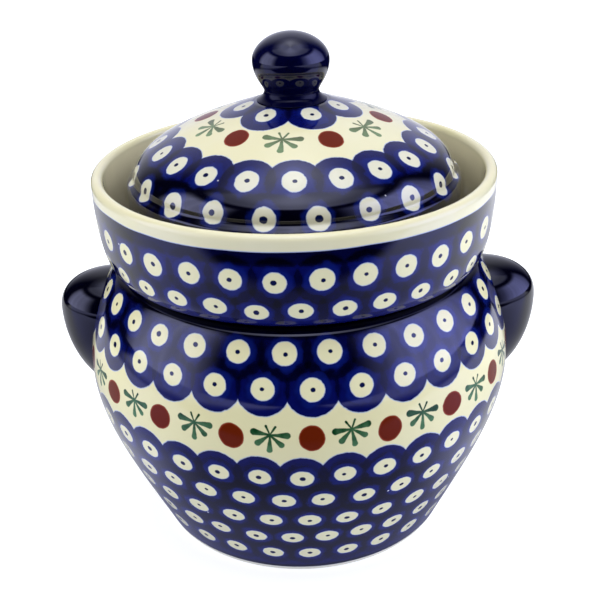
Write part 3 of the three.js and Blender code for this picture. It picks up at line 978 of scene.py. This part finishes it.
collar_glaze, tree, place, skin = start_glaze("collar_glaze")
surface, along = turned_map(tree, place)
lower_row = dict(collar_row(LOWER_DOTS, 0.8), flat=1.36)
rows = stamp_rows(tree, surface, [collar_row(UPPER_DOTS, 5.9), lower_row])
blue_field = along + noise(tree, place, 26.0, 1.0) * (1.8 * MM) - along_collar(CREAM_LINE) * MM
darkened = above(along, along_collar(UPPER_DOTS + BRUSHED_OVER) * MM, 1.5 * MM)
color = paint_stamps(tree, cream_glaze(tree, skin, LIP_CREAM), blue_field, darkened, rows, place, skin)
# Painted light on the inner wall of the trough
lit_inner_wall = above(along, collar_along[len(collar_wall) + len(lip_arc)] * MM, 2 * MM)
color = blend_colors(tree, lit_inner_wall, color, INNER_CREAM_LIT)
finish_glaze(tree, color, skin)

water_collar = turned_piece("water_collar_glazed", collar_outline, collar_along, collar_glaze, wobble=0.2,
                            seed=8.0)
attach(water_collar, "crock")
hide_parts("water_collar")


# Ear handles: solid egg-shaped lugs, pressed in a mould, trimmed to the belly and luted on with slip.
# They are painted all over in dark cobalt under the glaze.
EAR_MIDDLE = (BELLY_RADIUS - 18, SHOULDER[1] - 28)
EAR_REACH = 33
EAR_UP = 21
EAR_DOWN = 49
EAR_HALF_WIDTH = 24
EAR_TOP_SQUARENESS = 2.4
EAR_SUNK = 3
EAR_STEPS = 96
COBALT_COVER = 3.0
COBALT_COAT = 0.6

cobalt_glaze, tree, place, skin = start_glaze("cobalt_glaze", rings=0.0)
color = use_group(tree, cobalt_ground, place=place, cover=COBALT_COVER)["Color"]
finish_glaze(tree, color, skin, coat=COBALT_COAT)


def ear_handle(name, node_name, side):
    """An egg with its own reach, rise and drop, held back to a skin just inside the pot's wall."""
    spots = []
    rings = EAR_STEPS // 2
    for i in range(rings + 1):
        tilt = math.pi * (i / rings - 0.5)
        for j in range(EAR_STEPS):
            turn = 2 * math.pi * j / EAR_STEPS
            rise = math.sin(turn)
            power = EAR_TOP_SQUARENESS if rise > 0 else 2
            stretch = (abs(math.cos(turn)) ** power + abs(rise) ** power) ** (-1 / power)
            ring = math.cos(tilt) * stretch
            x = EAR_MIDDLE[0] + EAR_REACH * ring * math.cos(turn)
            y = EAR_HALF_WIDTH * math.sin(tilt)
            z = EAR_MIDDLE[1] + ring * rise * (EAR_UP if rise > 0 else EAR_DOWN)
            skin_radius = np.interp(z, pot_side[:, 1], pot_side[:, 0]) - EAR_SUNK
            radius = math.hypot(x, y)
            if radius < skin_radius:
                x *= skin_radius / radius
                y *= skin_radius / radius
            spots.append((side * x * MM, side * y * MM, z * MM))
    faces = [
        (i * EAR_STEPS + j, i * EAR_STEPS + (j + 1) % EAR_STEPS,
         (i + 1) * EAR_STEPS + (j + 1) % EAR_STEPS, (i + 1) * EAR_STEPS + j)
        for i in range(rings) for j in range(EAR_STEPS)
    ]
    mesh = bpy.data.meshes.new(name)
    mesh.from_pydata(spots, [], faces)
    mesh.validate()
    mesh.shade_smooth()
    mesh.materials.append(cobalt_glaze)
    face_outwards(mesh)
    piece = add_object(name, mesh)
    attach(piece, "crock")
    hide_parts(node_name)


ear_handle("left_ear_handle", "left_handle", -1)
ear_handle("right_ear_handle", "right_handle", 1)


# Lid: a turned dome with a stepped skirt that stands down in the trough's water, stamped like the pot.
# Two half-round notches in the skirt's bottom edge let the gas out. That edge is wiped bare, and the inside
# is cream.
lid_low, lid_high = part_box("lid")
SKIRT_RADIUS = lid_high.x / MM
LID_BASE = lid_low.z / MM
LID_TOP = lid_high.z / MM
LID_WALL = 6
EDGE_RADIUS = SKIRT_RADIUS - LID_WALL / 2
EDGE_ROUNDING = 1.6
STEP_LOW = LID_BASE + 40
STEP_RISE = 5
DOME_BASE = STEP_LOW + STEP_RISE
DOME_RADIUS = SKIRT_RADIUS - 3.6
DOME_PULL = (1.9, 14.7)
SEAT_RADIUS = 18.6
SEAT_PULL = (16.2, 6.2)
NOTCH_RADIUS = 6
BARE_EDGE = 7
# Painted shade: the lid's cream and its dots are darker than the pot's, to hold down the stronger light the
# dome gets from above
LID_CREAM_SHADED = (0.75, 0.722, 0.55, 1)
LID_DOT_SHADED = (0.69, 0.67, 0.52, 1)
DOME_STEPS = 60
lid_outside = np.concatenate([
    rounded([(EDGE_RADIUS, LID_BASE, 0), (SKIRT_RADIUS, LID_BASE, EDGE_ROUNDING),
             (SKIRT_RADIUS, STEP_LOW, 0)]),
    bezier((SKIRT_RADIUS, STEP_LOW), (SKIRT_RADIUS, STEP_LOW + STEP_RISE / 2),
           (DOME_RADIUS, STEP_LOW + STEP_RISE / 2), (DOME_RADIUS, DOME_BASE), steps=16)[1:],
    bezier((DOME_RADIUS, DOME_BASE), (DOME_RADIUS - DOME_PULL[0], DOME_BASE + DOME_PULL[1]),
           (SEAT_RADIUS + SEAT_PULL[0], LID_TOP - SEAT_PULL[1]), (SEAT_RADIUS, LID_TOP), DOME_STEPS)[1:],
    [(0, LID_TOP)],
])
INSIDE_START = 12  # the inner wall follows the outside from part way up the step
lid_inside = inset(lid_outside[INSIDE_START:-1], LID_WALL)
lid_outline = np.concatenate([
    lid_outside, [(0, LID_TOP - LID_WALL)], lid_inside[::-1],
    rounded([(SKIRT_RADIUS - LID_WALL, STEP_LOW - 2, 0), (SKIRT_RADIUS - LID_WALL, LID_BASE, EDGE_ROUNDING),
             (EDGE_RADIUS, LID_BASE, 0)]),
])
lid_along = lengths(lid_outline)
dome_part = slice(len(lid_outside) - DOME_STEPS - 1, len(lid_outside))


def lid_row(radius, count, degrees):
    along = np.interp(-radius, -lid_outside[dome_part, 0], lid_along[dome_part])
    return place_row(along, radius, count, degrees)


lid_glaze, tree, place, skin = start_glaze("lid_glaze")
surface, along = turned_map(tree, place)
lid_dot = dict(DOT, uneven=1.4 * MM, flat=0.97)
crown_row = {**lid_dot, **lid_row(23.9, 7, 20.7), "dot_size": 4.8 * MM}
shoulder_row = {**lid_dot, **lid_row(66.2, 20, 0.2), "disc_size": 13 * MM}
skirt_row = {**lid_dot, **lid_row(79.0, 21, 7.3), "eye_size": 1.5 * MM}
rows = stamp_rows(tree, surface, [crown_row, shoulder_row, skirt_row])
outside_end = lid_along[len(lid_outside) - 1] * MM
crown_field = (along * -1.0 + crown_row["height"]).math("MINIMUM", rows[0]["Disc"])
crown_field = crown_field.math("MAXIMUM", along - outside_end)
lower_field = (along - shoulder_row["height"]).math("MINIMUM", rows[1]["Disc"])
motifs = use_group(tree, motif_row, surface=surface, oval_size=6.3 * MM, sprig_scale=1.1, wander=1.6 * MM,
                   seed=9.0, **lid_row(43.2, 6, 23.5))
# The lid's sprigs are faded towards cream: a painted sheen for the light the dome mirrors
color = paint_motifs(tree, cream_glaze(tree, skin, LID_CREAM_SHADED), motifs, painted_sheen=0.12)
darkened = below(along, shoulder_row["height"] - BRUSHED_OVER * MM, 2 * MM)
# The blue is darker round the knob's foot, where the knob meets the lid
darkened = darkened + above(along, crown_row["height"] + 5.5 * MM, 2 * MM)
field = crown_field.math("MINIMUM", lower_field)
color = paint_stamps(tree, color, field, darkened, rows, place, skin, LID_DOT_SHADED)
bare_edge = below(along, BARE_EDGE * MM, PAINT_BORDER)
bare_edge = bare_edge.math("MAXIMUM", above(along, (lid_along[-1] - BARE_EDGE) * MM, PAINT_BORDER))
finish_glaze(tree, color, skin, bare=bare_edge, dull=painted(motifs))

lid = turned_piece("lid_glazed", lid_outline, lid_along, lid_glaze, wobble=0.2, seed=12.0)


def cut_notches(piece):
    """Cuts a round bar's width out of the bottom edge, on both sides at once."""
    ring = [(math.cos(a) * NOTCH_RADIUS, LID_BASE + math.sin(a) * NOTCH_RADIUS)
            for a in np.linspace(0, 2 * math.pi, 33)[:-1]]
    reach = 1.5 * SKIRT_RADIUS
    spots = [(x * MM, y * MM, z * MM) for x in (-reach, reach) for y, z in ring]
    count = len(ring)
    faces = [(i, (i + 1) % count, count + (i + 1) % count, count + i) for i in range(count)]
    faces += [tuple(reversed(range(count))), tuple(range(count, 2 * count))]
    bar_mesh = bpy.data.meshes.new("notch_bar")
    bar_mesh.from_pydata(spots, [], faces)
    face_outwards(bar_mesh)
    bar = add_object("notch_bar", bar_mesh)
    cut = piece.modifiers.new("notches", "BOOLEAN")
    cut.operation = "DIFFERENCE"
    cut.solver = "EXACT"
    cut.object = bar
    mesh = baked(piece, piece.name)
    piece.modifiers.remove(cut)
    bpy.data.objects.remove(bar)
    mesh.set_sharp_from_angle(angle=SHARP_EDGE)
    piece.data = mesh


cut_notches(lid)
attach(lid, "lid")
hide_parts("lid")


# Knob: a solid pear-shaped knob, turned from a soft ball of clay luted on the lid's crown.
# Its foot is smoothed out on the dome with a finger. Dark cobalt all over.
knob_low, knob_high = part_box("lid_knob")
KNOB_RADIUS = knob_high.x / MM
KNOB_BASE = knob_low.z / MM
KNOB_TOP = knob_high.z / MM
KNOB_WIDEST = KNOB_BASE + 18.9
KNOB_NECK = KNOB_BASE + 4.6
KNOB_NECK_RADIUS = 13.4
KNOB_FOOT_RADIUS = 17.4
KNOB_FULLNESS = 0.53
KNOB_COVER = 2.2
KNOB_DULL_NECK = 6
KNOB_STEPS = 96
knob_rise = KNOB_WIDEST - KNOB_NECK
knob_crown = KNOB_TOP - KNOB_WIDEST
knob_outline = np.concatenate([
    rounded([(0, KNOB_BASE, 0), (KNOB_FOOT_RADIUS, KNOB_BASE, 0.4),
             (KNOB_FOOT_RADIUS - 0.8, KNOB_BASE + 0.5, 0)])[:-1],
    bezier((KNOB_FOOT_RADIUS - 0.8, KNOB_BASE + 0.5), (KNOB_NECK_RADIUS + 1, KNOB_BASE + 1.7),
           (KNOB_NECK_RADIUS, KNOB_NECK - 1.6), (KNOB_NECK_RADIUS, KNOB_NECK), steps=12),
    bezier((KNOB_NECK_RADIUS, KNOB_NECK), (KNOB_NECK_RADIUS, KNOB_NECK + 0.15 * knob_rise),
           (KNOB_RADIUS, KNOB_WIDEST - KNOB_FULLNESS * knob_rise), (KNOB_RADIUS, KNOB_WIDEST), steps=24)[1:],
    bezier((KNOB_RADIUS, KNOB_WIDEST), (KNOB_RADIUS, KNOB_WIDEST + KNOB_FULLNESS * knob_crown),
           (KNOB_FULLNESS * KNOB_RADIUS, KNOB_TOP), (0, KNOB_TOP), steps=24)[1:],
])
knob_glaze, tree, place, skin = start_glaze("knob_glaze", rings=0.0)
color = use_group(tree, cobalt_ground, place=place, cover=KNOB_COVER)["Color"]
neck = below(separate(tree, place)["Z"], (KNOB_NECK + KNOB_DULL_NECK) * MM, 4 * MM)
finish_glaze(tree, color, skin, dull=neck, coat=COBALT_COAT)
lid_knob = turned_piece("lid_knob_glazed", knob_outline, lengths(knob_outline), knob_glaze, wobble=0.15,
                        seed=15.0, steps=KNOB_STEPS)
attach(lid_knob, "lid")
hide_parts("lid_knob")


# Weights: two half-moons of cream-glazed stoneware, rolled and cut, each with a hole for a finger.
# They lie loose in the pot, on its floor when it is empty and on the food when it is full.
WEIGHT_EDGE = 2.0 * MM
FINGER_HOLE_RADIUS = 11.0 * MM
FINGER_HOLE_SHARE = 0.466
WEIGHT_SHARP_EDGE = math.radians(40)
weight_glaze, tree, place, skin = start_glaze("weight_glaze", rings=0.0)
finish_glaze(tree, cream_glaze(tree, skin), skin)


def weight_half(name, node_name, body, side):
    """A filled outline of half-moon and hole, given its thickness and a rounded edge."""
    low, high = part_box(node_name)
    flat = min(abs(low.x), abs(high.x)) + WEIGHT_EDGE
    radius = max(abs(low.x), abs(high.x)) - WEIGHT_EDGE
    hole = Vector((side * radius * FINGER_HOLE_SHARE, 0, 0))
    end = math.acos(flat / radius)
    rim = [(side * radius * math.cos(a), radius * math.sin(a), 0) for a in np.linspace(-end, end, 72)]
    ring = [hole + FINGER_HOLE_RADIUS * Vector((math.cos(a), math.sin(a), 0))
            for a in np.linspace(0, 2 * math.pi, 48)[:-1]]
    outline = bpy.data.curves.new(name, "CURVE")
    outline.dimensions = "2D"
    outline.fill_mode = "BOTH"
    outline.extrude = (high.z - low.z) / 2 - WEIGHT_EDGE
    outline.bevel_depth = WEIGHT_EDGE
    outline.bevel_resolution = 4
    for points in (rim, ring):
        spline = outline.splines.new("POLY")
        spline.points.add(len(points) - 1)
        for spot, point in zip(spline.points, points):
            spot.co = (*point, 1)
        spline.use_cyclic_u = True
    blank = add_object(name + "_blank", outline)
    mesh = baked(blank, name)
    bpy.data.objects.remove(blank)
    mesh.transform(Matrix.Translation((0, 0, (low.z + high.z) / 2)))
    mesh.materials.clear()
    mesh.materials.append(weight_glaze)
    mesh.shade_smooth()
    mesh.set_sharp_from_angle(angle=WEIGHT_SHARP_EDGE)
    piece = add_object(name, mesh)
    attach(piece, body)
    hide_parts(node_name)


weight_half("left_weight", "weight_half_left", "weight_left", -1)
weight_half("right_weight", "weight_half_right", "weight_right", 1)
